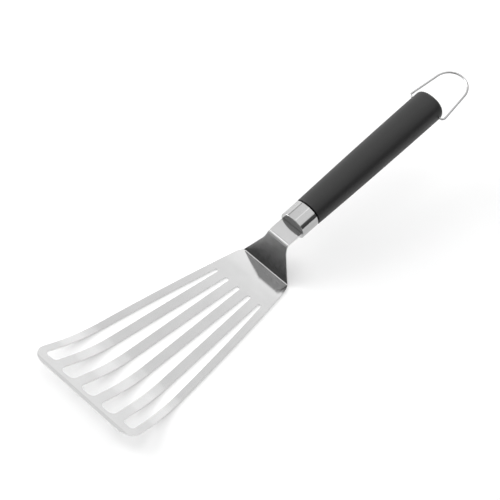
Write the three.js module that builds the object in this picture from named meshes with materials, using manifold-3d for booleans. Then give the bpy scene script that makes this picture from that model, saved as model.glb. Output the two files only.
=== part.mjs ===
// A flexible slotted spatula: one blanked and folded sheet of spring steel, whose tang is pinned in a
// moulded handle core, under a steel ferrule and a soft grip, with a wire loop to hang it by.
//
// Millimetres. +X runs from the blade to the handle, +Y is to the left and +Z is up. The flat underside of
// the blade lies on z = 0, and the origin is the middle of the solid heel land there.

import * as THREE from "three";
import { mergeVertices } from "three/addons/utils/BufferGeometryUtils.js";
import Module from "manifold-3d";

const wasm = await Module();
wasm.setup();

// Blade blank, measured on the flat sheet, with lengths counted from the heel fold.
const SHEET = 1.1;
const BLADE_LENGTH = 191;
const FRONT_WIDTH = 102.5;
const FRONT_CORNER_RADIUS = 12;
const HEEL_WIDTH = 49.8;
const HEEL_CORNER_SETBACK = 5;
const HEEL_CORNER_RADIUS = 15;
const SIDE_BOW = 1.9;
const GRIND_WIDTH = 0.8;
const GRIND_EDGE = 0.8;

// Drain slots: three inner ones of one width, a narrower one at each side, and bars of one width between.
const HEEL_LAND = 29;
const BAR_WIDTH = 7.5;
const EDGE_BAR_WIDTH = 5.8;
const OUTER_SLOT_SHARE = 0.79;
const FRONT_BAR_WIDTH = 6.6;
const OUTER_FRONT_BAR_WIDTH = 9.2;
const SLOT_CORNER_RADIUS = 5;
const OUTER_SLOT_CORNER_RADIUS = 3.5;
const SLOT_END_ROUNDNESS = 0.98;

// Folds of the sheet: a lifted tip, the riser at the heel, and the shoulder where the shank begins.
const TIP_LENGTH = 43.3;
const TIP_ANGLE = 19.5;
const TIP_FOLD_RADIUS = 42;
const HEEL_FOLD_RADIUS = 1.3;
const RISER_LENGTH = 27.1;
const RISER_ANGLE = 70.7;
const SHOULDER_FOLD_RADIUS = 2.2;
const HANDLE_PITCH = 10.3;

// Shank and tang, which are the narrow rear of the same sheet.
const SHANK_WIDTH = 20;
const SHANK_LENGTH = 14.7;
const NECK_TAPER_ANGLE = 28.5;
const NECK_RADIUS = 15;
const TANG_WIDTH = 13;
const TANG_LENGTH = 66;
const TANG_CORNER_RADIUS = 3;

// Pins through the core and the tang, placed from the front of the ferrule.
const PIN_DIAMETER = 4;
const FRONT_PIN_FROM_FERRULE = 26;
const PIN_SPACING = 30;

// Ferrule, core and grip share one oval section, drawn as a superellipse.
const OVAL_POWER = 2.3;
const FERRULE_LENGTH = 15.6;
const FERRULE_SIDE_MARGIN = 1.35;
const FERRULE_HEIGHT = 20.2;
const FERRULE_WALL = 1.0;
const FERRULE_EDGE_RADIUS = 1.0;
const GRIP_PROUD = 0.1;
const GRIP_LENGTH = 136.6;
const GRIP_FLARE_WIDTH = 3.0;
const GRIP_FLARE_HEIGHT = 1.8;
const GRIP_WALL = 2.2;
const GRIP_FRONT_RADIUS = 0.5;
const GRIP_END_DOME = 6.2;
const GRIP_END_POWER = 2.8;
const GRIP_END_WALL = 4.8;
const CORE_WALL = 2.0;
const CORE_WEB = 4;

// Hanging loop, a sprung wire whose two turned-in ends pivot in the sides of the handle.
const LOOP_WIRE = 1.6;
const LOOP_PIVOT_FROM_END = 7.7;
const LOOP_REACH = 39.9;
const LOOP_SIDE_GAP = 4.3;
const LOOP_CLOSE_IN = 3.4;
const LOOP_BEND_RADIUS = 2.5;
const LOOP_END_DEPTH = 5.5;

// Clearance between pieces that touch, and the running clearance of the loop's ends.
const CLEARANCE = 0.3;
const LOOP_CLEARANCE = 0.2;

// Fineness of the facets.
const ARC_STEP = 15;
const FOLD_STEPS = 6;
const TIP_FOLD_STEPS = 8;
const SIDE_STEPS = 8;
const OVAL_STEPS = 44;
const SWELL_STEPS = 4;
const DOME_STEPS = 7;
const HOLE_STEPS = 20;
const WIRE_SIDES = 10;
const WIRE_STEP = 1.1;

const radians = THREE.MathUtils.degToRad;

// A closed geometry as a solid that can be cut.
function solidOf(geometry) {
  const bare = new THREE.BufferGeometry();
  bare.setAttribute("position", geometry.getAttribute("position"));
  bare.setIndex(geometry.index);
  const merged = mergeVertices(bare, 1e-4);
  const mesh = new wasm.Mesh({
    numProp: 3,
    vertProperties: new Float32Array(merged.attributes.position.array),
    triVerts: new Uint32Array(merged.index.array),
  });
  return new wasm.Manifold(mesh);
}

// The faces of a solid as a geometry.
function geometryOf(solid) {
  const mesh = solid.getMesh();
  const geometry = new THREE.BufferGeometry();
  geometry.setAttribute("position", new THREE.BufferAttribute(mesh.vertProperties, 3));
  geometry.setIndex(new THREE.BufferAttribute(mesh.triVerts, 1));
  return geometry;
}

// The first geometry with every other one cut away from it.
function cut(geometry, ...tools) {
  let solid = solidOf(geometry);
  for (const tool of tools) {
    solid = solid.subtract(solidOf(tool));
  }
  return geometryOf(solid);
}

// Points of an outline whose corners { x, y, radius } are rounded by arcs.
function roundedPoints(corners, closed) {
  const points = [];
  const count = corners.length;
  corners.forEach((corner, i) => {
    const here = new THREE.Vector2(corner.x, corner.y);
    const isEnd = !closed && (i === 0 || i === count - 1);
    if (isEnd || !corner.radius) {
      points.push(here);
      return;
    }
    const before = corners[(i + count - 1) % count];
    const after = corners[(i + 1) % count];
    const toBefore = new THREE.Vector2(before.x, before.y).sub(here).normalize();
    const toAfter = new THREE.Vector2(after.x, after.y).sub(here).normalize();
    const halfAngle = Math.acos(THREE.MathUtils.clamp(toBefore.dot(toAfter), -1, 1)) / 2;
    const middle = toBefore.clone().add(toAfter).normalize();
    const centre = here.clone().addScaledVector(middle, corner.radius / Math.sin(halfAngle));
    const tangentLength = corner.radius / Math.tan(halfAngle);
    const start = here.clone().addScaledVector(toBefore, tangentLength).sub(centre);
    const turn = Math.sign(toAfter.cross(toBefore)) * (Math.PI - 2 * halfAngle);
    const steps = Math.max(1, Math.ceil(Math.abs(turn) / radians(ARC_STEP)));
    for (let k = 0; k <= steps; k++) {
      points.push(start.clone().rotateAround(new THREE.Vector2(), (turn * k) / steps).add(centre));
    }
  });
  return points;
}

// One ring of the oval section, square to X.
function oval(x, halfWidth, halfHeight) {
  const ring = [];
  for (let i = 0; i < OVAL_STEPS; i++) {
    const angle = (2 * Math.PI * i) / OVAL_STEPS;
    const across = Math.sign(Math.cos(angle)) * Math.abs(Math.cos(angle)) ** (2 / OVAL_POWER);
    const up = Math.sign(Math.sin(angle)) * Math.abs(Math.sin(angle)) ** (2 / OVAL_POWER);
    ring.push(new THREE.Vector3(x, halfWidth * across, halfHeight * up));
  }
  return ring;
}

// A closed skin over a row of rings that run towards +X, with a fan over each end.
function loft(rings) {
  const count = rings[0].length;
  const points = rings.flat();
  const faces = [];
  for (let row = 0; row < rings.length - 1; row++) {
    for (let i = 0; i < count; i++) {
      const a = row * count + i;
      const b = row * count + ((i + 1) % count);
      faces.push(a, b, b + count, a, b + count, a + count);
    }
  }
  for (const [row, faceForward] of [[0, false], [rings.length - 1, true]]) {
    const centre = points.length;
    const middle = new THREE.Vector3();
    rings[row].forEach((point) => middle.addScaledVector(point, 1 / count));
    points.push(middle);
    for (let i = 0; i < count; i++) {
      const a = row * count + i;
      const b = row * count + ((i + 1) % count);
      faces.push(centre, ...(faceForward ? [a, b] : [b, a]));
    }
  }
  return new THREE.BufferGeometry().setFromPoints(points).setIndex(faces);
}

// Half the blade's width at a distance ahead of the heel fold.
function bladeHalfWidth(ahead) {
  const along = (ahead - HEEL_CORNER_SETBACK) / (BLADE_LENGTH - HEEL_CORNER_SETBACK);
  const straight = THREE.MathUtils.lerp(HEEL_WIDTH, FRONT_WIDTH, along) / 2;
  return straight + 4 * SIDE_BOW * along * (1 - along);
}

// Stations along the sheet, counted on the flat blank from the origin towards the handle.
const heelFold = HEEL_LAND / 2;
const shoulderFold = heelFold + RISER_LENGTH;
const ferruleFace = shoulderFold + SHANK_LENGTH;
const tangShoulder = ferruleFace + FERRULE_WALL;
const tangEnd = ferruleFace + TANG_LENGTH;
const frontEdge = heelFold - BLADE_LENGTH;
const tipFold = frontEdge + TIP_LENGTH;

// The folds in order from the front edge, each turning the sheet by its angle.
const folds = [
  { at: tipFold, angle: radians(TIP_ANGLE), radius: TIP_FOLD_RADIUS, steps: TIP_FOLD_STEPS },
  { at: heelFold, angle: radians(RISER_ANGLE), radius: HEEL_FOLD_RADIUS, steps: FOLD_STEPS },
  {
    at: shoulderFold,
    angle: radians(HANDLE_PITCH - RISER_ANGLE),
    radius: SHOULDER_FOLD_RADIUS,
    steps: FOLD_STEPS,
  },
];
folds.forEach((fold) => {
  fold.half = (fold.radius * Math.abs(fold.angle)) / 2;
});

// Walks the middle of the folded sheet from its front edge to a station: where it is and how it slopes.
function walkSheet(station) {
  const place = { x: 0, z: 0, slope: -radians(TIP_ANGLE) };
  let here = frontEdge;
  const step = (length, turn) => {
    const chord = turn ? (2 * length * Math.sin(turn / 2)) / turn : length;
    place.x += chord * Math.cos(place.slope + turn / 2);
    place.z += chord * Math.sin(place.slope + turn / 2);
    place.slope += turn;
    here += length;
  };
  for (const fold of folds) {
    const flat = Math.min(station, fold.at - fold.half) - here;
    if (flat > 0) step(flat, 0);
    const bent = Math.min(station, fold.at + fold.half) - here;
    if (bent > 0) step(bent, (Math.sign(fold.angle) * bent) / fold.radius);
  }
  step(station - here, 0);
  return place;
}
const origin = walkSheet(0);

// A station of the folded sheet in the part's frame.
function sheetPlace(station) {
  const place = walkSheet(station);
  return { x: place.x - origin.x, z: place.z - origin.z + SHEET / 2, slope: place.slope };
}

// Outline of the whole flat blank, counter-clockwise from its right front corner.
function blankOutline() {
  const half = [{ x: frontEdge, y: FRONT_WIDTH / 2, radius: FRONT_CORNER_RADIUS }];
  const sideStart = BLADE_LENGTH - 1.5 * FRONT_CORNER_RADIUS;
  for (let i = 0; i < SIDE_STEPS; i++) {
    const ahead = THREE.MathUtils.lerp(sideStart, HEEL_CORNER_SETBACK, i / SIDE_STEPS);
    half.push({ x: heelFold - ahead, y: bladeHalfWidth(ahead) });
  }
  const heelCorner = { x: heelFold - HEEL_CORNER_SETBACK, y: HEEL_WIDTH / 2, radius: HEEL_CORNER_RADIUS };
  const neckFall = HEEL_WIDTH / 2 - SHANK_WIDTH / 2;
  const neckLength = neckFall / Math.tan(radians(NECK_TAPER_ANGLE));
  half.push(heelCorner);
  half.push({ x: heelCorner.x + neckLength, y: SHANK_WIDTH / 2, radius: NECK_RADIUS });
  half.push({ x: tangShoulder, y: SHANK_WIDTH / 2 });
  half.push({ x: tangShoulder, y: TANG_WIDTH / 2 });
  half.push({ x: tangEnd, y: TANG_WIDTH / 2, radius: TANG_CORNER_RADIUS });
  const rightHalf = half.map((corner) => ({ ...corner, y: -corner.y }));
  return roundedPoints([...rightHalf, ...half.reverse()], true);
}

// Outlines of the drain slots. The slots fan out with the blade, so the bars between keep their width.
function slotOutlines() {
  const slotFront = BLADE_LENGTH - FRONT_BAR_WIDTH;
  const slotWidthAt = (ahead) => {
    const room = 2 * bladeHalfWidth(ahead) - 2 * EDGE_BAR_WIDTH - 4 * BAR_WIDTH;
    return room / (3 + 2 * OUTER_SLOT_SHARE);
  };
  const slotWidth = (ahead) => {
    const along = (ahead - HEEL_LAND) / (slotFront - HEEL_LAND);
    return THREE.MathUtils.lerp(slotWidthAt(HEEL_LAND), slotWidthAt(slotFront), along);
  };
  // Edge 0 is half the middle slot, and each later edge lies a bar or a slot further out.
  const edge = (number, ahead) => (number + 0.5) * slotWidth(ahead) + number * BAR_WIDTH;
  const outerFront = BLADE_LENGTH - OUTER_FRONT_BAR_WIDTH;
  const slots = [
    { from: (ahead) => -edge(0, ahead), to: (ahead) => edge(0, ahead), front: slotFront },
    { from: (ahead) => edge(0, ahead) + BAR_WIDTH, to: (ahead) => edge(1, ahead), front: slotFront },
    {
      from: (ahead) => edge(1, ahead) + BAR_WIDTH,
      to: (ahead) => bladeHalfWidth(ahead) - EDGE_BAR_WIDTH,
      front: outerFront,
    },
  ];
  slots.forEach((slot, number) => {
    const isOuter = number === slots.length - 1;
    const roundestEnd = (ahead) => (SLOT_END_ROUNDNESS * (slot.to(ahead) - slot.from(ahead))) / 2;
    const rearRadius = roundestEnd(HEEL_LAND);
    const cornerRadius = isOuter ? OUTER_SLOT_CORNER_RADIUS : SLOT_CORNER_RADIUS;
    const frontRadius = Math.min(cornerRadius, roundestEnd(slot.front));
    slot.corners = [
      { x: heelFold - HEEL_LAND, y: slot.from(HEEL_LAND), radius: rearRadius },
      { x: heelFold - slot.front, y: slot.from(slot.front), radius: frontRadius },
      { x: heelFold - slot.front, y: slot.to(slot.front), radius: frontRadius },
    ];
    if (isOuter) {
      for (let i = 1; i < SIDE_STEPS; i++) {
        const ahead = THREE.MathUtils.lerp(slot.front - 2 * frontRadius, HEEL_LAND, i / SIDE_STEPS);
        slot.corners.push({ x: heelFold - ahead, y: slot.to(ahead) });
      }
    }
    slot.corners.push({ x: heelFold - HEEL_LAND, y: slot.to(HEEL_LAND), radius: rearRadius });
  });
  const leftSide = slots.map((slot) => slot.corners);
  const mirror = (corners) => corners.map((corner) => ({ ...corner, y: -corner.y }));
  const rightSide = leftSide.slice(1).map(mirror);
  return [...leftSide, ...rightSide].map((corners) => roundedPoints(corners, true));
}

const pinPlaces = [FRONT_PIN_FROM_FERRULE, FRONT_PIN_FROM_FERRULE + PIN_SPACING];

// The flat blank with its slots and pin holes, and its front edge lightly ground from above.
function flatBlank() {
  const outline = new THREE.Shape(blankOutline());
  outline.holes = slotOutlines().map((points) => new THREE.Path(points));
  for (const place of pinPlaces) {
    const hole = new THREE.Path();
    hole.absarc(ferruleFace + place, 0, PIN_DIAMETER / 2 + CLEARANCE, 0, 2 * Math.PI);
    outline.holes.push(new THREE.Path(hole.getPoints(HOLE_STEPS / 2).slice(1)));
  }
  const blank = new THREE.ExtrudeGeometry(outline, { depth: SHEET, bevelEnabled: false });

  const slope = (SHEET - GRIND_EDGE) / GRIND_WIDTH;
  const beyond = GRIND_WIDTH;
  const wedge = new THREE.Shape([
    new THREE.Vector2(frontEdge + GRIND_WIDTH, SHEET),
    new THREE.Vector2(frontEdge + 2 * GRIND_WIDTH, SHEET + beyond),
    new THREE.Vector2(frontEdge - beyond, SHEET + beyond),
    new THREE.Vector2(frontEdge - beyond, GRIND_EDGE - slope * beyond),
  ]);
  const grind = new THREE.ExtrudeGeometry(wedge, { depth: 2 * FRONT_WIDTH, bevelEnabled: false });
  grind.translate(0, 0, -FRONT_WIDTH).rotateX(Math.PI / 2);
  return cut(blank, grind);
}

// A box across the whole blank between two stations.
function stripBox(from, to) {
  const box = new THREE.BoxGeometry(1, 2 * FRONT_WIDTH, 4 * SHEET);
  const position = box.getAttribute("position");
  for (let i = 0; i < position.count; i++) {
    position.setX(i, position.getX(i) < 0 ? from : to);
  }
  return box;
}

// Lays a flat piece of the blank along the folded sheet.
function fold(flat) {
  const position = flat.getAttribute("position");
  for (let i = 0; i < position.count; i++) {
    const place = sheetPlace(position.getX(i));
    const offset = position.getZ(i) - SHEET / 2;
    const x = place.x - offset * Math.sin(place.slope);
    const z = place.z + offset * Math.cos(place.slope);
    position.setXYZ(i, x, position.getY(i), z);
  }
  return flat;
}

// The blank, cut into strips at its bend lines, with each strip folded into place and joined to the last.
function foldedBlade() {
  const bendLines = [frontEdge - FRONT_WIDTH];
  for (const { at, half, steps } of folds) {
    for (let k = 0; k <= steps; k++) {
      bendLines.push(at - half + (2 * half * k) / steps);
    }
  }
  bendLines.push(tangEnd + FRONT_WIDTH);
  const blank = solidOf(flatBlank());
  let sheet = null;
  for (let i = 0; i + 1 < bendLines.length; i++) {
    const strip = blank.intersect(solidOf(stripBox(bendLines[i], bendLines[i + 1])));
    const folded = solidOf(fold(geometryOf(strip)));
    sheet = sheet ? sheet.add(folded) : folded;
  }
  return geometryOf(sheet);
}

// Handle pieces, along +X from the front of the ferrule and about the middle of the shank.
const ferruleHalfWidth = SHANK_WIDTH / 2 + FERRULE_SIDE_MARGIN;
const ferruleHalfHeight = FERRULE_HEIGHT / 2;
const gripFront = FERRULE_LENGTH + CLEARANCE;
const gripEnd = gripFront + GRIP_LENGTH;
const cavityEnd = gripEnd - GRIP_END_WALL;
const coreFront = FERRULE_WALL + CLEARANCE;
const coreEnd = cavityEnd - CLEARANCE;
const pocketEnd = TANG_LENGTH + CLEARANCE;
const loopPivot = gripEnd - LOOP_PIVOT_FROM_END;

// Half width and half height of the grip at a distance from the front of the ferrule. It swells towards the
// rear, and runs level again at its end.
function gripHalves(x) {
  const along = THREE.MathUtils.clamp((x - gripFront) / GRIP_LENGTH, 0, 1);
  const swell = along * (2 - along);
  return [
    ferruleHalfWidth + GRIP_PROUD + (GRIP_FLARE_WIDTH / 2) * swell,
    ferruleHalfHeight + GRIP_PROUD + (GRIP_FLARE_HEIGHT / 2) * swell,
  ];
}

// A ring at x that lies inside the grip's surface by the given depth.
function gripRing(x, depth) {
  const [halfWidth, halfHeight] = gripHalves(x);
  return oval(x, halfWidth - depth, halfHeight - depth);
}

// Rings between two places that follow the grip's swell at the given depth.
function gripRings(from, to, depth) {
  const rings = [gripRing(from, depth)];
  for (let i = 0; i <= SWELL_STEPS; i++) {
    const x = gripFront + (GRIP_LENGTH * i) / SWELL_STEPS;
    if (x > from && x < to) rings.push(gripRing(x, depth));
  }
  rings.push(gripRing(to, depth));
  return rings;
}

// A ring at x that lies inside the ferrule's surface by the given depth.
function ferruleRing(x, depth) {
  return oval(x, ferruleHalfWidth - depth, ferruleHalfHeight - depth);
}

// A round bar, along Y or Z, to make a pin or to cut its hole.
function roundBar(diameter, length, x, alongZ) {
  const bar = new THREE.CylinderGeometry(diameter / 2, diameter / 2, length, HOLE_STEPS);
  if (alongZ) bar.rotateX(Math.PI / 2);
  return bar.translate(x, 0, 0);
}

// Drawn cup with a rounded front edge, open at the rear, and slit for the shank.
function ferruleGeometry() {
  const outside = [];
  for (let angle = 0; angle <= 90; angle += 2 * ARC_STEP) {
    const depth = FERRULE_EDGE_RADIUS * (1 - Math.sin(radians(angle)));
    const x = FERRULE_EDGE_RADIUS * (1 - Math.cos(radians(angle)));
    outside.push(ferruleRing(x, depth));
  }
  outside.push(ferruleRing(FERRULE_LENGTH, 0));
  const inside = loft([
    ferruleRing(FERRULE_WALL, FERRULE_WALL),
    ferruleRing(2 * FERRULE_LENGTH, FERRULE_WALL),
  ]);
  const slit = new THREE.BoxGeometry(
    4 * FERRULE_WALL,
    SHANK_WIDTH + 2 * CLEARANCE,
    SHEET + 2 * CLEARANCE,
  );
  return cut(loft(outside), inside, slit);
}

// Moulded core: a spigot in the ferrule, a pocket for the tang, and a rear cored out to an even wall.
function coreGeometry() {
  const spigotDepth = FERRULE_WALL + CLEARANCE;
  const bodyDepth = GRIP_WALL + CLEARANCE;
  const spigotEnd = FERRULE_LENGTH;
  const body = loft([
    ferruleRing(coreFront, spigotDepth),
    ferruleRing(spigotEnd, spigotDepth),
    ...gripRings(spigotEnd, coreEnd, bodyDepth),
  ]);
  const hollow = loft(gripRings(pocketEnd + CORE_WEB, 2 * gripEnd, bodyDepth + CORE_WALL));
  const pocket = new THREE.BoxGeometry(2 * pocketEnd, TANG_WIDTH + 2 * CLEARANCE, SHEET + 2 * CLEARANCE);
  const holeDiameter = PIN_DIAMETER + 2 * CLEARANCE;
  const pinHoles = pinPlaces.map((place) => roundBar(holeDiameter, 2 * FERRULE_HEIGHT, place, true));
  return cut(body, hollow, pocket, ...pinHoles, loopHole());
}

// Bore across the handle in which the loop's ends turn.
function loopHole() {
  const [halfWidth] = gripHalves(loopPivot);
  return roundBar(LOOP_WIRE + 2 * LOOP_CLEARANCE, 4 * halfWidth, loopPivot, false);
}

// Soft sleeve with a domed rear end, moulded over the core.
function gripGeometry() {
  const midway = GRIP_FRONT_RADIUS * (1 - Math.SQRT1_2);
  const domeStart = gripEnd - GRIP_END_DOME;
  const outside = [
    gripRing(gripFront, GRIP_FRONT_RADIUS),
    gripRing(gripFront + midway, midway),
    ...gripRings(gripFront + GRIP_FRONT_RADIUS, domeStart, 0),
  ];
  const [halfWidth, halfHeight] = gripHalves(domeStart);
  for (let k = 1; k < DOME_STEPS; k++) {
    const angle = (Math.PI / 2) * (k / DOME_STEPS);
    const shrink = Math.cos(angle) ** (2 / GRIP_END_POWER);
    const x = domeStart + GRIP_END_DOME * Math.sin(angle) ** (2 / GRIP_END_POWER);
    outside.push(oval(x, halfWidth * shrink, halfHeight * shrink));
  }
  const cavity = loft(gripRings(-gripEnd, cavityEnd, GRIP_WALL));
  return cut(loft(outside), cavity, loopHole());
}

// Pin driven down through the core and the tang, as long as the core is high there.
function pinGeometry(place) {
  const halfHeight = gripHalves(place)[1] - GRIP_WALL - CLEARANCE;
  return roundBar(PIN_DIAMETER, 2 * halfHeight, 0, true);
}

// Wire bent in one plane about its pivot: two turned-in ends, legs that close in, and a round arch.
function loopGeometry() {
  const [gripHalfWidth] = gripHalves(loopPivot);
  const spread = gripHalfWidth + LOOP_SIDE_GAP;
  const archRadius = spread - LOOP_CLOSE_IN;
  const archCentre = LOOP_REACH - archRadius;
  const lean = Math.atan2(spread, archCentre) - Math.asin(archRadius / Math.hypot(spread, archCentre));
  const wireEnd = gripHalfWidth - LOOP_END_DEPTH;
  const corners = [
    { x: 0, y: wireEnd },
    { x: 0, y: spread, radius: LOOP_BEND_RADIUS },
    { x: spread / Math.tan(lean), y: 0, radius: archRadius },
    { x: 0, y: -spread, radius: LOOP_BEND_RADIUS },
    { x: 0, y: -wireEnd },
  ];
  const points = roundedPoints(corners, false).map(({ x, y }) => new THREE.Vector3(x, y, 0));
  const route = new THREE.CurvePath();
  for (let i = 0; i + 1 < points.length; i++) {
    route.add(new THREE.LineCurve3(points[i], points[i + 1]));
  }
  const section = new THREE.Shape();
  section.absarc(0, 0, LOOP_WIRE / 2, 0, 2 * Math.PI);
  const outline = new THREE.Shape(section.getPoints(WIRE_SIDES / 2).slice(1));
  const steps = Math.ceil(route.getLength() / WIRE_STEP);
  return new THREE.ExtrudeGeometry(outline, { steps, extrudePath: route });
}

// A named sub-part with a material of its own.
function piece(name, geometry, color, roughness, metalness) {
  const material = new THREE.MeshStandardMaterial({ color, roughness, metalness });
  const flat = geometry.index ? geometry.toNonIndexed() : geometry;
  flat.computeVertexNormals();
  const mesh = new THREE.Mesh(flat, material);
  mesh.name = name;
  return mesh;
}

const spatula = new THREE.Group();
spatula.add(piece("blade", foldedBlade(), 0xd4d4d2, 0.3, 1));

const handle = new THREE.Group();
const handleSeat = sheetPlace(ferruleFace);
handle.position.set(handleSeat.x, 0, handleSeat.z);
handle.rotation.y = -handleSeat.slope;
spatula.add(handle);

handle.add(piece("ferrule", ferruleGeometry(), 0xdcdcda, 0.15, 1));
handle.add(piece("handle_core", coreGeometry(), 0x2a2a2a, 0.6, 0));
handle.add(piece("grip", gripGeometry(), 0x1e1e1e, 0.75, 0));
["tang_pin_front", "tang_pin_rear"].forEach((name, i) => {
  const pin = piece(name, pinGeometry(pinPlaces[i]), 0x9a9a98, 0.35, 1);
  pin.position.x = pinPlaces[i];
  handle.add(pin);
});
const loop = piece("hanging_loop", loopGeometry(), 0xc8c8c6, 0.25, 1);
loop.position.x = loopPivot;
handle.add(loop);

export default spatula;
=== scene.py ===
"""Looks of a flexible slotted spatula: a folded steel blade, a ferrule, a soft grip and a wire loop."""
from math import asin, atan2, cos, hypot, pi, radians, sin, sqrt, tan

import bmesh
import bpy
from mathutils import Matrix, Vector


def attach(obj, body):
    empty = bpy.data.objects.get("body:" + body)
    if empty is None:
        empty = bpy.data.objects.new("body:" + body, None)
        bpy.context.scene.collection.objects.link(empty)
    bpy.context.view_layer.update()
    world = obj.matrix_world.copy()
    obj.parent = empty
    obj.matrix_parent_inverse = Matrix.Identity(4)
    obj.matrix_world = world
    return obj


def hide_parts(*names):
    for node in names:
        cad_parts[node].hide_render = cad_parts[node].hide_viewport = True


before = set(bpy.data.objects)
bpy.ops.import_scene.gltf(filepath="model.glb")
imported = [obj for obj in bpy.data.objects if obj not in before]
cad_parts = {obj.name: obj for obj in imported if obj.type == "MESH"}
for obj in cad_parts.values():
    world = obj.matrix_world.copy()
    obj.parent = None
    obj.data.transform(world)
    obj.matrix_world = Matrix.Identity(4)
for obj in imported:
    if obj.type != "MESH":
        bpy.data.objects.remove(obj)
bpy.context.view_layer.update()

# Blade. One sheet of spring steel, blanked with five drain slots, lightly ground along its front edge,
# and folded three times: a lifted tip, the riser at the heel, and the shoulder where the shank begins.
# The narrow rear of the same sheet is the tang, pinned inside the handle.
MM = 0.001
SHEET = 1.1 * MM
BLADE_LENGTH = 191 * MM
FRONT_WIDTH = 102.5 * MM
FRONT_CORNER_RADIUS = 12 * MM
HEEL_WIDTH = 49.8 * MM
HEEL_CORNER_SETBACK = 5 * MM
HEEL_CORNER_RADIUS = 15 * MM
SIDE_BOW = 1.9 * MM
SIDE_CUTS = 23
GRIND_WIDTH = 3 * MM
GRIND_EDGE = 0.9 * MM
EDGE_BREAK = 0.14 * MM
HEEL_LAND = 29 * MM
BAR_WIDTH = 7.5 * MM
EDGE_BAR_WIDTH = 5.8 * MM
OUTER_SLOT_SHARE = 0.79
FRONT_BAR_WIDTH = 6.6 * MM
OUTER_FRONT_BAR_WIDTH = 9.2 * MM
SLOT_CORNER_RADIUS = 5 * MM
OUTER_SLOT_CORNER_RADIUS = 3.5 * MM
SLOT_END_ROUNDNESS = 0.98
TIP_LENGTH = 43.3 * MM
TIP_ANGLE = radians(19.5)
TIP_FOLD_RADIUS = 120 * MM
TIP_FOLD_STEPS = 28
HEEL_FOLD_LEAD = 0.7 * MM
HEEL_FOLD_RADIUS = 1.3 * MM
RISER_LENGTH = 27.34 * MM
RISER_ANGLE = radians(69.3)
SHOULDER_FOLD_RADIUS = 2.4 * MM
FOLD_STEPS = 12
HANDLE_PITCH = radians(10.3)
SHANK_WIDTH = 20 * MM
SHANK_LENGTH = 14.7 * MM
NECK_TAPER_ANGLE = radians(28.5)
NECK_RADIUS = 15 * MM
FERRULE_WALL = 1.0 * MM
TANG_WIDTH = 13 * MM
TANG_LENGTH = 66 * MM
TANG_CORNER_RADIUS = 3 * MM
PIN_HOLE_RADIUS = 2.3 * MM
PIN_HOLE_SIDES = 32
PIN_STATIONS = (26 * MM, 56 * MM)
ROUND_STEPS = 10

# Places along the flat sheet. The blade and its slots are measured from the heel fold's mark, and the
# press bends the sheet a little ahead of that mark.
heel_fold = HEEL_LAND / 2
heel_bend = heel_fold - HEEL_FOLD_LEAD
shoulder_fold = heel_bend + RISER_LENGTH
ferrule_face = shoulder_fold + SHANK_LENGTH
tang_end = ferrule_face + TANG_LENGTH
front_edge = heel_fold - BLADE_LENGTH
tip_fold = front_edge + TIP_LENGTH


def blade_half_width(ahead):
    """Half the blade's width at a distance ahead of the heel fold, with its slightly bowed sides."""
    along = (ahead - HEEL_CORNER_SETBACK) / (BLADE_LENGTH - HEEL_CORNER_SETBACK)
    straight = (HEEL_WIDTH + (FRONT_WIDTH - HEEL_WIDTH) * along) / 2
    return straight + 4 * SIDE_BOW * along * (1 - along)


def draw_plate(mesh, corners):
    """A flat face with the given corners."""
    mesh.faces.new([mesh.verts.new((x, y, 0)) for x, y in corners])


def corner_at(mesh, place):
    """The corner of a plate at a place."""
    return min(mesh.verts, key=lambda vert: (vert.co.xy - Vector(place)).length)


def round_corner(mesh, place, radius):
    """Rounds the corner of a plate at a place to an arc."""
    corner = corner_at(mesh, place)
    ways = [(edge.other_vert(corner).co - corner.co).normalized() for edge in corner.link_edges]
    half_angle = ways[0].angle(ways[1]) / 2
    bmesh.ops.bevel(
        mesh,
        geom=[corner],
        offset=radius / tan(half_angle),
        offset_type="ABSOLUTE",
        segments=ROUND_STEPS,
        profile=0.5,
        affect="VERTICES",
        material=-1,
    )


def corners_in(made):
    """The corners among what an operator made."""
    return [item for item in made if isinstance(item, bmesh.types.BMVert)]


def edges_in(made):
    """The edges among what an operator made."""
    return [item for item in made if isinstance(item, bmesh.types.BMEdge)]


def bow_side(mesh, start, end, inset):
    """Cuts the straight side between two corners into short runs and moves them out to the bowed line,
    which lies inside the blade's own side by the inset."""
    corner = corner_at(mesh, start)
    far_corner = corner_at(mesh, end)
    side = next(edge for edge in corner.link_edges if edge.other_vert(corner) == far_corner)
    made = bmesh.ops.subdivide_edges(mesh, edges=[side], cuts=SIDE_CUTS)
    for vert in corners_in(made["geom_inner"]):
        outward = 1 if vert.co.y > 0 else -1
        vert.co.y = outward * (blade_half_width(heel_fold - vert.co.x) - inset)


blank = bmesh.new()

# The outline, from the front corner of the right side round the tang to that of the left side.
heel_corner_x = heel_fold - HEEL_CORNER_SETBACK
neck_x = heel_corner_x + (HEEL_WIDTH - SHANK_WIDTH) / 2 / tan(NECK_TAPER_ANGLE)
side_front_x = front_edge + 1.5 * FRONT_CORNER_RADIUS
side_front_y = blade_half_width(heel_fold - side_front_x)
tang_shoulder = ferrule_face + FERRULE_WALL
right_side = [
    (front_edge, -FRONT_WIDTH / 2),
    (side_front_x, -side_front_y),
    (heel_corner_x, -HEEL_WIDTH / 2),
    (neck_x, -SHANK_WIDTH / 2),
    (tang_shoulder, -SHANK_WIDTH / 2),
    (tang_shoulder, -TANG_WIDTH / 2),
    (tang_end, -TANG_WIDTH / 2),
]
left_side = [(x, -y) for x, y in right_side]
draw_plate(blank, right_side + left_side[::-1])
for front, side_front, heel, neck, _, _, tang_corner in (right_side, left_side):
    bow_side(blank, side_front, heel, inset=0)
    round_corner(blank, front, FRONT_CORNER_RADIUS)
    round_corner(blank, heel, HEEL_CORNER_RADIUS)
    round_corner(blank, neck, NECK_RADIUS)
    round_corner(blank, tang_corner, TANG_CORNER_RADIUS)

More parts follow.
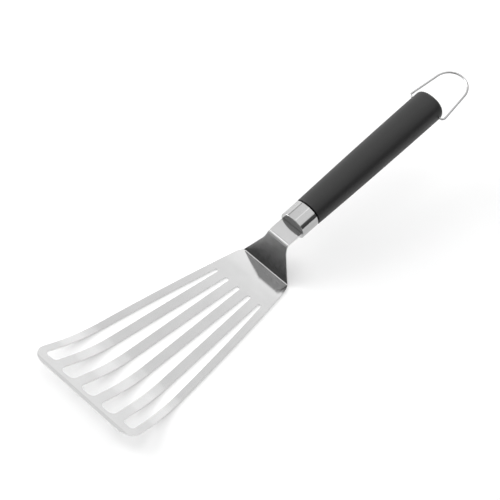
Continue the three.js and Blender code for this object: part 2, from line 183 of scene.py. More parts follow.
# The slots: a middle one and, on each side, an inner one and a narrower outer one along the bowed side.
MIDDLE, INNER, OUTER = 0, 1, 2


def slot_share(ahead):
    """Width that an inner slot gets when the bars and slots share out the blade's width."""
    room = 2 * blade_half_width(ahead) - 2 * EDGE_BAR_WIDTH - 4 * BAR_WIDTH
    return room / (3 + 2 * OUTER_SLOT_SHARE)


def slot_width(ahead):
    """Width of an inner slot, which fans out with the blade so that the bars keep their width."""
    slot_front = BLADE_LENGTH - FRONT_BAR_WIDTH
    along = (ahead - HEEL_LAND) / (slot_front - HEEL_LAND)
    return slot_share(HEEL_LAND) + (slot_share(slot_front) - slot_share(HEEL_LAND)) * along


def near_side(slot, ahead):
    """Distance from the blade's middle to the near side of a slot."""
    return (slot - 0.5) * slot_width(ahead) + slot * BAR_WIDTH


def far_side(slot, ahead):
    """Distance from the blade's middle to the far side of a slot."""
    if slot == OUTER:
        return blade_half_width(ahead) - EDGE_BAR_WIDTH
    return (slot + 0.5) * slot_width(ahead) + slot * BAR_WIDTH


for slot, sides in ((MIDDLE, (1,)), (INNER, (1, -1)), (OUTER, (1, -1))):
    front_bar = OUTER_FRONT_BAR_WIDTH if slot == OUTER else FRONT_BAR_WIDTH
    corner_radius = OUTER_SLOT_CORNER_RADIUS if slot == OUTER else SLOT_CORNER_RADIUS
    slot_front = BLADE_LENGTH - front_bar
    rear_room = SLOT_END_ROUNDNESS * (far_side(slot, HEEL_LAND) - near_side(slot, HEEL_LAND)) / 2
    front_room = SLOT_END_ROUNDNESS * (far_side(slot, slot_front) - near_side(slot, slot_front)) / 2
    front_radius = min(corner_radius, front_room)
    bowed_front = slot_front - 2 * front_radius
    for side in sides:
        rear_near = (heel_fold - HEEL_LAND, side * near_side(slot, HEEL_LAND))
        front_near = (heel_fold - slot_front, side * near_side(slot, slot_front))
        front_far = (heel_fold - slot_front, side * far_side(slot, slot_front))
        rear_far = (heel_fold - HEEL_LAND, side * far_side(slot, HEEL_LAND))
        if slot == OUTER:
            bow_start = (heel_fold - bowed_front, side * far_side(slot, bowed_front))
            draw_plate(blank, [rear_near, front_near, front_far, bow_start, rear_far])
            bow_side(blank, bow_start, rear_far, inset=EDGE_BAR_WIDTH)
        else:
            draw_plate(blank, [rear_near, front_near, front_far, rear_far])
        round_corner(blank, rear_near, rear_room)
        round_corner(blank, front_near, front_radius)
        round_corner(blank, front_far, front_radius)
        round_corner(blank, rear_far, rear_room)

for station in PIN_STATIONS:
    middle = Matrix.Translation((ferrule_face + station, 0, 0))
    bmesh.ops.create_circle(blank, segments=PIN_HOLE_SIDES, radius=PIN_HOLE_RADIUS, matrix=middle)


def all_of(mesh):
    """Every corner, edge and face of a mesh."""
    return mesh.verts[:] + mesh.edges[:] + mesh.faces[:]


# Punched from the sheet, given its thickness, ground at the front and broken along every cut edge.
bmesh.ops.delete(blank, geom=blank.faces[:], context="FACES_ONLY")
bmesh.ops.triangle_fill(blank, edges=blank.edges[:], normal=(0, 0, 1), use_beauty=True)
sheet = bmesh.ops.extrude_face_region(blank, geom=blank.faces[:])
bmesh.ops.translate(blank, vec=(0, 0, SHEET), verts=corners_in(sheet["geom"]))
ground = bmesh.ops.bisect_plane(
    blank,
    geom=all_of(blank),
    plane_co=(front_edge, 0, GRIND_EDGE),
    plane_no=(GRIND_EDGE - SHEET, 0, GRIND_WIDTH),
    clear_outer=True,
)
bmesh.ops.contextual_create(blank, geom=edges_in(ground["geom_cut"]))
bmesh.ops.recalc_face_normals(blank, faces=blank.faces[:])

# Each face's finish: the cut walls stand upright, and the ground strip leans forward.
SATIN, CUT, GROUND, RISER = 0, 1, 2, 3
GROUND_LEAN = 0.02
cut_edges = [edge for edge in blank.edges if edge.calc_face_angle(0) > radians(60)]
for face in blank.faces:
    if abs(face.normal.z) < 0.5:
        face.material_index = CUT
    elif face.normal.x < -GROUND_LEAN:
        face.material_index = GROUND
bmesh.ops.bevel(
    blank,
    geom=cut_edges,
    offset=EDGE_BREAK,
    offset_type="OFFSET",
    segments=2,
    profile=0.5,
    affect="EDGES",
    clamp_overlap=True,
    material=CUT,
)

# Folded along many close bend lines, from the far end of each fold inwards, about the sheet's middle.
# A guard line just outside each fold keeps the flats flat up to it.
GUARD = 0.35 * MM
CUT_TOUCH = 1e-8
LINE_TOUCH = 1e-6
folds = [
    (tip_fold, TIP_ANGLE, TIP_FOLD_RADIUS, TIP_FOLD_STEPS, -1),
    (shoulder_fold, HANDLE_PITCH - RISER_ANGLE, SHOULDER_FOLD_RADIUS, FOLD_STEPS, 1),
    (heel_bend, RISER_ANGLE, HEEL_FOLD_RADIUS, FOLD_STEPS, 1),
]


def bend_lines(at, half, steps):
    """Places of a fold's bend lines, spread evenly over half its length to each side of its middle."""
    return [at - half + 2 * half * (k + 0.5) / steps for k in range(steps)]


station_of = blank.verts.layers.float.new("station")
for at, angle, radius, steps, _ in folds:
    half = radius * abs(angle) / 2
    for x in [at - half - GUARD] + bend_lines(at, half, steps) + [at + half + GUARD]:
        bmesh.ops.bisect_plane(
            blank,
            geom=all_of(blank),
            dist=CUT_TOUCH,
            plane_co=(x, 0, 0),
            plane_no=(1, 0, 0),
        )
sheet_map = blank.loops.layers.uv.new("sheet")
for face in blank.faces:
    for corner in face.loops:
        corner[sheet_map].uv = corner.vert.co.xy
for vert in blank.verts:
    vert[station_of] = vert.co.x
riser_foot = heel_bend + HEEL_FOLD_RADIUS * RISER_ANGLE / 2
riser_top = shoulder_fold - SHOULDER_FOLD_RADIUS * (RISER_ANGLE - HANDLE_PITCH) / 2
# The riser's faces take the riser steel, whose darker tone is painted shade.
for face in blank.faces:
    if face.material_index == SATIN and riser_foot < face.calc_center_median().x < riser_top:
        face.material_index = RISER
for at, angle, radius, steps, away in folds:
    half = radius * abs(angle) / 2
    turn = Matrix.Rotation(-angle * away / steps / 2, 3, "Y")
    for x in sorted(bend_lines(at, half, steps), reverse=away > 0):
        for reach in (-LINE_TOUCH, LINE_TOUCH):
            beyond = [vert for vert in blank.verts if (vert[station_of] - x) * away > reach]
            bmesh.ops.rotate(blank, cent=(x, 0, SHEET / 2), matrix=turn, verts=beyond)


def keep_sharp(mesh, angle):
    """Keeps the edges sharp where two faces meet at this angle or more."""
    for edge in mesh.edges:
        edge.smooth = edge.calc_face_angle(0) < angle


keep_sharp(blank, radians(20))
for edge in blank.edges:
    if {face.material_index for face in edge.link_faces} == {SATIN, GROUND}:
        edge.smooth = False


def finished(mesh, name, *finishes):
    """The finished piece as an object with its finishes, shaded smooth between its sharp edges."""
    for face in mesh.faces:
        face.smooth = True
    data = bpy.data.meshes.new(name)
    mesh.to_mesh(data)
    mesh.free()
    for finish in finishes:
        data.materials.append(finish)
    piece = bpy.data.objects.new(name, data)
    bpy.context.scene.collection.objects.link(piece)
    return piece


def new_group(name, inputs, outputs):
    """An empty node group with named sockets, and its input and output nodes."""
    group = bpy.data.node_groups.new(name, "ShaderNodeTree")
    for socket, kind, value in inputs:
        made = group.interface.new_socket(socket, in_out="INPUT", socket_type=kind)
        if value is not None:
            made.default_value = value
    for socket, kind in outputs:
        group.interface.new_socket(socket, in_out="OUTPUT", socket_type=kind)
    return group, group.nodes.new("NodeGroupInput"), group.nodes.new("NodeGroupOutput")


# Fine drawn lines that the rolling and polishing of the steel leave, long one way and close the other.
drawn_lines, lines_in, lines_out = new_group(
    "drawn lines",
    [("Vector", "NodeSocketVector", None), ("Closeness", "NodeSocketVector", (60, 2600, 2600))],
    [("Lines", "NodeSocketFloat"), ("Clouds", "NodeSocketFloat")],
)
stretch = drawn_lines.nodes.new("ShaderNodeVectorMath")
stretch.operation = "MULTIPLY"
hair = drawn_lines.nodes.new("ShaderNodeTexNoise")
hair.inputs["Scale"].default_value = 1
hair.inputs["Detail"].default_value = 3
clouds = drawn_lines.nodes.new("ShaderNodeTexNoise")
clouds.inputs["Scale"].default_value = 38
clouds.inputs["Detail"].default_value = 4
clouds.inputs["Roughness"].default_value = 0.6
link = drawn_lines.links.new
link(lines_in.outputs["Vector"], stretch.inputs[0])
link(lines_in.outputs["Closeness"], stretch.inputs[1])
link(stretch.outputs["Vector"], hair.inputs["Vector"])
link(lines_in.outputs["Vector"], clouds.inputs["Vector"])
link(hair.outputs["Fac"], lines_out.inputs["Lines"])
link(clouds.outputs["Fac"], lines_out.inputs["Clouds"])

NOISE_LOW = 0.3
NOISE_HIGH = 0.7
LINE_HEIGHT = 0.045 * MM


def grey(tone):
    """A neutral colour of this tone."""
    return tone, tone, tone, 1


def steel(name, tone, rough, closeness, source="Object", line_depth=0.02, haze=0.05):
    """A steel finish: drawn lines in its gloss and relief, and a faint cloudiness in its tone."""
    finish = bpy.data.materials.new(name)
    finish.use_nodes = True
    nodes = finish.node_tree.nodes
    link = finish.node_tree.links.new
    shader = nodes["Principled BSDF"]
    shader.inputs["Metallic"].default_value = 1
    place = nodes.new("ShaderNodeTexCoord")
    lines = nodes.new("ShaderNodeGroup")
    lines.node_tree = drawn_lines
    lines.inputs["Closeness"].default_value = closeness
    link(place.outputs[source], lines.inputs["Vector"])
    gloss = nodes.new("ShaderNodeMapRange")
    gloss.inputs["From Min"].default_value = NOISE_LOW
    gloss.inputs["From Max"].default_value = NOISE_HIGH
    gloss.inputs["To Min"].default_value = rough * 0.8
    gloss.inputs["To Max"].default_value = rough * 1.2
    link(lines.outputs["Lines"], gloss.inputs["Value"])
    link(gloss.outputs["Result"], shader.inputs["Roughness"])
    tint = nodes.new("ShaderNodeMix")
    tint.data_type = "RGBA"
    tint.inputs["A"].default_value = grey(tone - haze)
    tint.inputs["B"].default_value = grey(tone + haze)
    link(lines.outputs["Clouds"], tint.inputs["Factor"])
    link(tint.outputs["Result"], shader.inputs["Base Color"])
    relief = nodes.new("ShaderNodeBump")
    relief.inputs["Strength"].default_value = line_depth
    relief.inputs["Distance"].default_value = LINE_HEIGHT
    link(lines.outputs["Lines"], relief.inputs["Height"])
    link(relief.outputs["Normal"], shader.inputs["Normal"])
    return finish


# The flats are bright from the rolls. The riser is brushed deeper, and its steel has a darker tone than
# the flats: painted shade, standing in for the darker reflection it shows.
ROLLED_LINES = (90, 6000, 1)
satin_steel = steel("satin spring steel", 0.5, 0.1, ROLLED_LINES, source="UV", line_depth=0.1)
riser_steel_painted_shade = steel("riser steel with painted shade", 0.2, 0.1, ROLLED_LINES, source="UV", line_depth=1)
cut_steel = steel("punched edge", 0.74, 0.4, (900, 900, 900), line_depth=0.05)
ground_steel = steel("ground edge", 0.42, 0.24, (2200, 45, 1), source="UV", line_depth=0.04)

# The press draws the sheet down very slightly towards the heel fold. It shows only in what the steel
# mirrors there, so it is in the relief of the finish, and the sheet itself stays flat.
DIP_REACH = 24 * MM
DIP_DEPTH = 2.6 * MM
nodes = satin_steel.node_tree.nodes
link = satin_steel.node_tree.links.new
along_sheet = nodes.new("ShaderNodeSeparateXYZ")
dip = nodes.new("ShaderNodeMapRange")
dip.interpolation_type = "SMOOTHSTEP"
dip.inputs["From Min"].default_value = heel_bend - DIP_REACH
dip.inputs["From Max"].default_value = heel_bend + DIP_REACH
dip.inputs["To Min"].default_value = 0
dip.inputs["To Max"].default_value = -DIP_DEPTH
dip_relief = nodes.new("ShaderNodeBump")
dip_relief.inputs["Distance"].default_value = 1
link(nodes["Texture Coordinate"].outputs["UV"], along_sheet.inputs["Vector"])
link(along_sheet.outputs["X"], dip.inputs["Value"])
link(dip.outputs["Result"], dip_relief.inputs["Height"])
link(dip_relief.outputs["Normal"], nodes["Bump"].inputs["Normal"])
blade = finished(blank, "folded_blade", satin_steel, cut_steel, ground_steel, riser_steel_painted_shade)
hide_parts("blade")
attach(blade, "spatula")

# Core and tang pins. The moulded stem that the tang sits in, and the two steel pins driven through both.
# The ferrule and the grip close over them, so only their finishes are set here.
moulded = bpy.data.materials.new("moulded stem")
moulded.use_nodes = True
nodes = moulded.node_tree.nodes
link = moulded.node_tree.links.new
stem = nodes["Principled BSDF"]
stem.inputs["Roughness"].default_value = 0.6
stem_place = nodes.new("ShaderNodeTexCoord")
stem_grain = nodes.new("ShaderNodeTexNoise")
stem_grain.inputs["Scale"].default_value = 900
stem_tint = nodes.new("ShaderNodeMix")
stem_tint.data_type = "RGBA"
stem_tint.inputs["A"].default_value = grey(0.022)
stem_tint.inputs["B"].default_value = grey(0.035)
link(stem_place.outputs["Object"], stem_grain.inputs["Vector"])
link(stem_grain.outputs["Fac"], stem_tint.inputs["Factor"])
link(stem_tint.outputs["Result"], stem.inputs["Base Color"])
turned_steel = steel("turned pin steel", 0.52, 0.3, (900, 900, 60))
for node, finish in (
    ("handle_core", moulded),
    ("tang_pin_front", turned_steel),
    ("tang_pin_rear", turned_steel),
):
    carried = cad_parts[node]
    for place in carried.material_slots:
        place.material = finish

# Ferrule. A short cup drawn from sheet steel and polished, with a slightly rounded front edge and a slit
# for the shank. It is pressed over the front of the core, and closes the front of the handle.
FERRULE_SIDE_MARGIN = 1.35 * MM
FERRULE_HALF_WIDTH = SHANK_WIDTH / 2 + FERRULE_SIDE_MARGIN
FERRULE_HALF_HEIGHT = 10.1 * MM
FERRULE_LENGTH = 15.6 * MM
FERRULE_EDGE_RADIUS = 0.3 * MM
REAR_EDGE_BREAK = 0.2 * MM
SLIT_GAP = 0.3 * MM
OVAL_POWER = 2.3
OVAL_SIDES = 96

# The handle's own place: the middle of the ferrule's front, where the folded shank enters it.
HANDLE_SEAT = Vector((38.239, 0, 29.004)) * MM
handle_place = Matrix.Translation(HANDLE_SEAT) @ Matrix.Rotation(-HANDLE_PITCH, 4, "Y")


def next_ring(mesh, ring):
    """Extrudes a ring of edges, still in its place, and gives the new ring's corners and edges."""
    made = bmesh.ops.extrude_edge_only(mesh, edges=ring)["geom"]
    corners = corners_in(made)
    known = set(corners)
    return corners, [edge for edge in edges_in(made) if known.issuperset(edge.verts)]


def oval_part(unit):
    """Squares a circle's coordinate up a little towards the handle's oval."""
    return abs(unit) ** (2 / OVAL_POWER) * (1 if unit > 0 else -1)


def oval_sleeve(stages):
    """A closed skin drawn out along X from one oval ring to the next, with a flat face at both ends.
    Each stage is the place along X, the half width and the half height."""
    mesh = bmesh.new()
    x, wide, high = stages[0]
    upright = Matrix(((0, 0, 1, 0), (1, 0, 0, 0), (0, 1, 0, 0), (0, 0, 0, 1)))
    first = bmesh.ops.create_circle(mesh, segments=OVAL_SIDES, radius=1, matrix=upright)["verts"]
    for vert in first:
        vert.co = (x, wide * oval_part(vert.co.y), high * oval_part(vert.co.z))
    ring = mesh.edges[:]
    bmesh.ops.contextual_create(mesh, geom=ring)
    for next_x, next_wide, next_high in stages[1:]:
        corners, ring = next_ring(mesh, ring)
        bmesh.ops.scale(mesh, vec=(1, next_wide / wide, next_high / high), verts=corners)
        bmesh.ops.translate(mesh, vec=(next_x - x, 0, 0), verts=corners)
        x, wide, high = next_x, next_wide, next_high
    bmesh.ops.contextual_create(mesh, geom=ring)
    bmesh.ops.recalc_face_normals(mesh, faces=mesh.faces[:])
    return mesh


def ferrule_stage(x, depth):
    """A ring of the ferrule at x, at a depth below its polished surface."""
    return x, FERRULE_HALF_WIDTH - depth, FERRULE_HALF_HEIGHT - depth


cup_stages = []
for degrees in range(0, 91, 10):
    cup_stages.append(
        ferrule_stage(
            FERRULE_EDGE_RADIUS * (1 - cos(radians(degrees))),
            FERRULE_EDGE_RADIUS * (1 - sin(radians(degrees))),
        )
    )
cup_stages += [
    ferrule_stage(FERRULE_EDGE_RADIUS + GUARD, 0),
    ferrule_stage(FERRULE_LENGTH - REAR_EDGE_BREAK - GUARD, 0),
    ferrule_stage(FERRULE_LENGTH - REAR_EDGE_BREAK, 0),
    ferrule_stage(FERRULE_LENGTH, REAR_EDGE_BREAK),
    ferrule_stage(FERRULE_LENGTH, FERRULE_WALL),
    ferrule_stage(FERRULE_WALL, FERRULE_WALL),
]
cup = oval_sleeve(cup_stages)


def front_plates(mesh):
    """The flat outer and inner faces of the cup's front."""
    plates = []
    for face in mesh.faces:
        if abs(face.normal.x) > 0.99 and face.calc_center_median().x < 2 * FERRULE_WALL:
            plates.append(face)
    return plates


# The slit is marked out on both faces of the front, opened and joined through the wall.
slit_half_width = SHANK_WIDTH / 2 + SLIT_GAP
slit_half_height = SHEET / 2 + SLIT_GAP
for across, reach in ((Vector((0, 1, 0)), slit_half_width), (Vector((0, 0, 1)), slit_half_height)):
    for side in (1, -1):
        plates = front_plates(cup)
        rims = dict.fromkeys(edge for face in plates for edge in face.edges)
        points = dict.fromkeys(vert for face in plates for vert in face.verts)
        bmesh.ops.bisect_plane(
            cup,
            geom=plates + list(rims) + list(points),
            dist=CUT_TOUCH,
            plane_co=across * side * reach,
            plane_no=across * side,
        )
slit_plates = []
for face in front_plates(cup):
    middle = face.calc_center_median()
    if abs(middle.y) < slit_half_width and abs(middle.z) < slit_half_height:
        slit_plates.append(face)
bmesh.ops.delete(cup, geom=slit_plates, context="FACES")
slit_edges = [edge for edge in cup.edges if edge.is_boundary]
bmesh.ops.bridge_loops(cup, edges=slit_edges)
bmesh.ops.recalc_face_normals(cup, faces=cup.faces[:])
keep_sharp(cup, radians(35))
bmesh.ops.transform(cup, matrix=handle_place, verts=cup.verts[:])
polished_steel = steel("polished ferrule steel", 0.47, 0.12, (60, 1500, 1500), line_depth=0.01, haze=0.03)
ferrule = finished(cup, "drawn_ferrule", polished_steel)
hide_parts("ferrule")
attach(ferrule, "spatula")

# Grip. A soft black sleeve moulded over the core, a little wider towards its rear, with a domed end.
# A narrow groove parts it from the ferrule. Its skin is matte and finely grained, and the loop's two
# ends enter it at the sides near the rear.
GRIP_GROOVE = 1.1 * MM
GRIP_FRONT = FERRULE_LENGTH + GRIP_GROOVE
GRIP_LENGTH = 135.8 * MM
GRIP_PROUD = 0.1 * MM
GRIP_FLARE_WIDTH = 3.0 * MM
GRIP_FLARE_HEIGHT = 1.8 * MM
GRIP_WALL = 2.2 * MM
GRIP_FRONT_RADIUS = 0.4 * MM
GRIP_END_DOME = 6.2 * MM
GRIP_END_POWER = 2.8
GRIP_END_WALL = 4.8 * MM
DOME_STEPS = 24
BODY_STEPS = 20
grip_end = GRIP_FRONT + GRIP_LENGTH


def grip_stage(x, depth):
    """A ring of the grip at x, at a depth below its skin, which swells towards the rear."""
    along = (x - GRIP_FRONT) / GRIP_LENGTH
    swell = along * (2 - along)
    wide = FERRULE_HALF_WIDTH + GRIP_PROUD + GRIP_FLARE_WIDTH / 2 * swell
    high = FERRULE_HALF_HEIGHT + GRIP_PROUD + GRIP_FLARE_HEIGHT / 2 * swell
    return x, wide - depth, high - depth


# From the end of the bore forwards, round the front edge, and back along the skin to the dome.
bore_end = grip_end - GRIP_END_WALL
sleeve_stages = []
for k in range(BODY_STEPS + 1):
    sleeve_stages.append(grip_stage(bore_end + (GRIP_FRONT - bore_end) * k / BODY_STEPS, GRIP_WALL))
for degrees in range(0, 91, 15):
    sleeve_stages.append(
        grip_stage(
            GRIP_FRONT + GRIP_FRONT_RADIUS * (1 - cos(radians(degrees))),
            GRIP_FRONT_RADIUS * (1 - sin(radians(degrees))),
        )
    )
dome_start = grip_end - GRIP_END_DOME
skin_start = GRIP_FRONT + GRIP_FRONT_RADIUS
for k in range(1, BODY_STEPS):
    sleeve_stages.append(grip_stage(skin_start + (dome_start - skin_start) * k / BODY_STEPS, 0))
_, dome_wide, dome_high = grip_stage(dome_start, 0)
for k in range(DOME_STEPS):
    angle = radians(90) * k / DOME_STEPS
    shrink = cos(angle) ** (2 / GRIP_END_POWER)
    rise = sin(angle) ** (2 / GRIP_END_POWER)
    sleeve_stages.append((dome_start + GRIP_END_DOME * rise, dome_wide * shrink, dome_high * shrink))
sleeve = oval_sleeve(sleeve_stages)
keep_sharp(sleeve, radians(40))
bmesh.ops.transform(sleeve, matrix=handle_place, verts=sleeve.verts[:])

soft_black = bpy.data.materials.new("soft black grip")
soft_black.use_nodes = True
nodes = soft_black.node_tree.nodes
link = soft_black.node_tree.links.new
skin = nodes["Principled BSDF"]
skin.inputs["Specular IOR Level"].default_value = 0.46
place = nodes.new("ShaderNodeTexCoord")
grain = nodes.new("ShaderNodeTexNoise")
grain.inputs["Scale"].default_value = 1500
grain.inputs["Detail"].default_value = 2
handling = nodes.new("ShaderNodeTexNoise")
handling.inputs["Scale"].default_value = 30
handling.inputs["Detail"].default_value = 5
tint = nodes.new("ShaderNodeMix")
tint.data_type = "RGBA"
tint.inputs["A"].default_value = grey(0.0055)
tint.inputs["B"].default_value = grey(0.0155)
dullness = nodes.new("ShaderNodeMapRange")
dullness.inputs["From Min"].default_value = NOISE_LOW
dullness.inputs["From Max"].default_value = NOISE_HIGH
dullness.inputs["To Min"].default_value = 0.47
dullness.inputs["To Max"].default_value = 0.57
relief = nodes.new("ShaderNodeBump")
relief.inputs["Strength"].default_value = 0.25
relief.inputs["Distance"].default_value = 0.06 * MM
link(place.outputs["Object"], grain.inputs["Vector"])
link(place.outputs["Object"], handling.inputs["Vector"])
link(grain.outputs["Fac"], tint.inputs["Factor"])
link(tint.outputs["Result"], skin.inputs["Base Color"])
link(handling.outputs["Fac"], dullness.inputs["Value"])
link(dullness.outputs["Result"], skin.inputs["Roughness"])
link(grain.outputs["Fac"], relief.inputs["Height"])
link(relief.outputs["Normal"], skin.inputs["Normal"])
grip = finished(sleeve, "soft_grip", soft_black)
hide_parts("grip")
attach(grip, "spatula")

# Hanging loop. One length of drawn stainless wire, bent round a former to an arch whose legs spread a
# little. Its two ends are turned in and sprung into the sides of the handle, where they pivot.
WIRE_RADIUS = 0.8 * MM
WIRE_SIDES = 20
LOOP_PIVOT_FROM_END = 7.7 * MM
LOOP_REACH = 39.9 * MM
LOOP_SIDE_GAP = 4.3 * MM
LOOP_CLOSE_IN = 3.4 * MM
LOOP_BEND_RADIUS = 2.5 * MM
LOOP_BEND_STEPS = 10
LOOP_ARCH_STEPS = 48
LOOP_END_DEPTH = 5.5 * MM
pivot_x = grip_end - LOOP_PIVOT_FROM_END
grip_half_width = grip_stage(pivot_x, 0)[1]
spread = grip_half_width + LOOP_SIDE_GAP
arch_radius = spread - LOOP_CLOSE_IN
arch_centre = LOOP_REACH - arch_radius
lean = atan2(spread, arch_centre) - asin(arch_radius / hypot(spread, arch_centre))
corner_turn = radians(90) + lean
tangent = LOOP_BEND_RADIUS * tan(corner_turn / 2)
leg_length = sqrt(spread ** 2 + arch_centre ** 2 - arch_radius ** 2) - tangent
wire_start = grip_half_width - LOOP_END_DEPTH
end_length = spread - wire_start - tangent

# The wire is drawn on from its first end: each straight length is followed by a bend to the right, seen
# from above.
wire = bmesh.new()
at = Vector((0, wire_start, 0))
heading = Vector((0, 1, 0))
facing_out = Matrix.Translation(at) @ Matrix.Rotation(radians(-90), 4, "X")
bmesh.ops.create_circle(wire, segments=WIRE_SIDES, radius=WIRE_RADIUS, matrix=facing_out)
ring = wire.edges[:]
bmesh.ops.contextual_create(wire, geom=ring)
for length, radius, angle, steps in (
    (end_length, LOOP_BEND_RADIUS, corner_turn, LOOP_BEND_STEPS),
    (leg_length, arch_radius, radians(180) - 2 * lean, LOOP_ARCH_STEPS),
    (leg_length, LOOP_BEND_RADIUS, corner_turn, LOOP_BEND_STEPS),
):
    corners, ring = next_ring(wire, ring)
    bmesh.ops.translate(wire, vec=heading * length, verts=corners)
    at = at + heading * length
    centre = at + Vector((heading.y, -heading.x, 0)) * radius
    bent = bmesh.ops.spin(
        wire,
        geom=corners + ring,
        cent=centre,
        axis=(0, 0, -1),
        angle=angle,
        steps=steps,
        use_merge=False,
        use_duplicate=False,
    )
    ring = edges_in(bent["geom_last"])
    turn = Matrix.Rotation(-angle, 3, "Z")
    at = centre + turn @ (at - centre)
    heading = turn @ heading
corners, ring = next_ring(wire, ring)
bmesh.ops.translate(wire, vec=heading * end_length, verts=corners)
bmesh.ops.contextual_create(wire, geom=ring)
bmesh.ops.recalc_face_normals(wire, faces=wire.faces[:])
keep_sharp(wire, radians(50))
loop_place = handle_place @ Matrix.Translation((pivot_x, 0, 0))
bmesh.ops.transform(wire, matrix=loop_place, verts=wire.verts[:])
wire_steel = steel("drawn wire steel", 0.42, 0.16, (700, 700, 700), line_depth=0.01)
loop = finished(wire, "wire_loop", wire_steel)
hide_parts("hanging_loop")
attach(loop, "loop")

# Studio. A plain white floor in a pale room, with large soft lights behind the tool and on both sides of
# it, strip lights that the steel mirrors, and one dark flag on the right. The floor shows white to the
# lens and in the steel and keeps the tool's shadow close by. Its glow rises from near the tool to far
# away: painted light that stands in for lamp light where the lamps fall off.
FLOOR_SIZE = 12
FLOOR_GAP = 0.1 * MM
NEAR_FLOOR = 0.35
FAR_FLOOR = 1.1
floor_mesh = bmesh.new()
bmesh.ops.create_grid(floor_mesh, x_segments=1, y_segments=1, size=FLOOR_SIZE / 2)
bmesh.ops.translate(floor_mesh, vec=(0, 0, -FLOOR_GAP), verts=floor_mesh.verts[:])
white_floor = bpy.data.materials.new("white floor")
white_floor.use_nodes = True
nodes = white_floor.node_tree.nodes
link = white_floor.node_tree.links.new
paint = nodes["Principled BSDF"]
paint.inputs["Base Color"].default_value = grey(0.62)
paint.inputs["Roughness"].default_value = 0.9
paint.inputs["Specular IOR Level"].default_value = 0
paint.inputs["Emission Color"].default_value = grey(1)
rays = nodes.new("ShaderNodeLightPath")
seen = nodes.new("ShaderNodeMath")
seen.operation = "MAXIMUM"
seen_through = nodes.new("ShaderNodeMath")
seen_through.operation = "MAXIMUM"
spot = nodes.new("ShaderNodeTexCoord")
from_tool = nodes.new("ShaderNodeVectorMath")
from_tool.operation = "LENGTH"
# The floor's glow rises with distance from the tool: painted light where the lamps fall off.
brightness = nodes.new("ShaderNodeMapRange")
brightness.inputs["From Min"].default_value = NEAR_FLOOR
brightness.inputs["From Max"].default_value = FAR_FLOOR
brightness.inputs["To Min"].default_value = 0.35
brightness.inputs["To Max"].default_value = 1
lift = nodes.new("ShaderNodeMath")
lift.operation = "MULTIPLY"
link(rays.outputs["Is Camera Ray"], seen.inputs[0])
link(rays.outputs["Is Glossy Ray"], seen.inputs[1])
link(seen.outputs["Value"], seen_through.inputs[0])
link(rays.outputs["Is Transmission Ray"], seen_through.inputs[1])
link(spot.outputs["Object"], from_tool.inputs[0])
link(from_tool.outputs["Value"], brightness.inputs["Value"])
link(seen_through.outputs["Value"], lift.inputs[0])
link(brightness.outputs["Result"], lift.inputs[1])
link(lift.outputs["Value"], paint.inputs["Emission Strength"])
floor = finished(floor_mesh, "studio_floor", white_floor)


def soft_light(name, toward, width, height, radiance, left=0, distance=1.5):
    """A soft light that faces the tool from a direction, moved to the left, as bright as its radiance."""
    lamp = bpy.data.lights.new(name, "AREA")
    lamp.shape = "RECTANGLE"
    lamp.size = width
    lamp.size_y = height
    lamp.energy = radiance * pi * width * height
    holder = bpy.data.objects.new(name, lamp)
    direction = Vector(toward).normalized()
    holder.location = direction * distance + Vector((0, left, 0))
    holder.rotation_euler = direction.to_track_quat("Z", "Y").to_euler()
    bpy.context.scene.collection.objects.link(holder)


soft_light("rear soft light", (0.688, 0, 0.725), width=1.5, height=2.06, radiance=0.82, left=0.95)
soft_light("wide rear strip", (0.807, 0, 0.591), width=1.15, height=1.314, radiance=0.19, left=0.775)
soft_light("low rear strip", (0.845, 0, 0.534), width=1.15, height=1.074, radiance=0.12, left=0.775)
soft_light("bright rear strip", (0.77, 0, 0.638), width=1.15, height=0.467, radiance=0.14, left=0.775)
soft_light("right soft light", (0.265, -0.323, 0.909), width=1.9, height=1.31, radiance=0.82)
soft_light("left soft light", (0.33, 0.88, 0.3), width=1.2, height=0.8, radiance=1.1)
soft_light("left front soft light", (-0.37, 0.83, 0.42), width=2.0, height=2.2, radiance=6.5, distance=3)
soft_light("overhead strip", (-0.191, 0, 0.982), width=1.0, height=0.58, radiance=2.2, left=0.64)
soft_light("front strip", (-0.737, 0, 0.676), width=1.0, height=0.4, radiance=1.3, left=0.64)

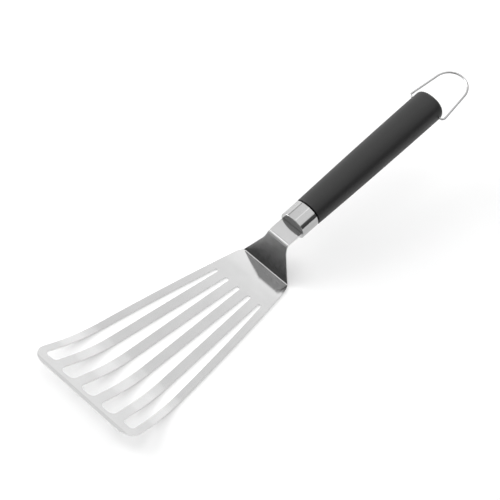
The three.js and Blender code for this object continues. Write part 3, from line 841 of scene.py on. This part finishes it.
room = bpy.data.worlds.new("studio room")
room.use_nodes = True
nodes = room.node_tree.nodes
link = room.node_tree.links.new
bearing = nodes.new("ShaderNodeTexCoord")
height = nodes.new("ShaderNodeVectorMath")
height.operation = "DOT_PRODUCT"
height.inputs[1].default_value = (0, 0, 1)
wall = nodes.new("ShaderNodeMapRange")
wall.inputs["From Min"].default_value = 0
wall.inputs["From Max"].default_value = 0.75
wall.inputs["To Min"].default_value = 0.2
wall.inputs["To Max"].default_value = 0.4
toward_flag = nodes.new("ShaderNodeVectorMath")
toward_flag.operation = "DOT_PRODUCT"
toward_flag.inputs[1].default_value = (0.386, -0.828, 0.407)
flag = nodes.new("ShaderNodeMapRange")
flag.inputs["From Min"].default_value = 0.9
flag.inputs["From Max"].default_value = 0.965
flag.inputs["To Min"].default_value = 1
flag.inputs["To Max"].default_value = 0.35
shaded = nodes.new("ShaderNodeMath")
shaded.operation = "MULTIPLY"
link(bearing.outputs["Generated"], height.inputs[0])
link(bearing.outputs["Generated"], toward_flag.inputs[0])
link(height.outputs["Value"], wall.inputs["Value"])
link(toward_flag.outputs["Value"], flag.inputs["Value"])
link(wall.outputs["Result"], shaded.inputs[0])
link(flag.outputs["Result"], shaded.inputs[1])
link(shaded.outputs["Value"], nodes["Background"].inputs["Strength"])
nodes["Background"].inputs["Color"].default_value = grey(1)
bpy.context.scene.world = room

# Camera, at the photograph's viewpoint: a long lens from the front right, well above the tool.
camera_data = bpy.data.cameras.new("camera")
camera_data.sensor_width = 36
camera_data.lens = 168.46
camera = bpy.data.objects.new("camera", camera_data)
right = Vector((0.6986, -0.7099, 0.0889)).normalized()
forward = Vector((0.4954, 0.3903, -0.7760))
forward = (forward - forward.dot(right) * right).normalized()
up = right.cross(forward)
turned = Matrix((right, up, -forward)).transposed().to_4x4()
camera.matrix_world = Matrix.Translation((-0.84298, -0.65821, 1.34719)) @ turned
bpy.context.scene.collection.objects.link(camera)
bpy.context.scene.camera = camera
bpy.context.scene.view_settings.view_transform = "Standard"
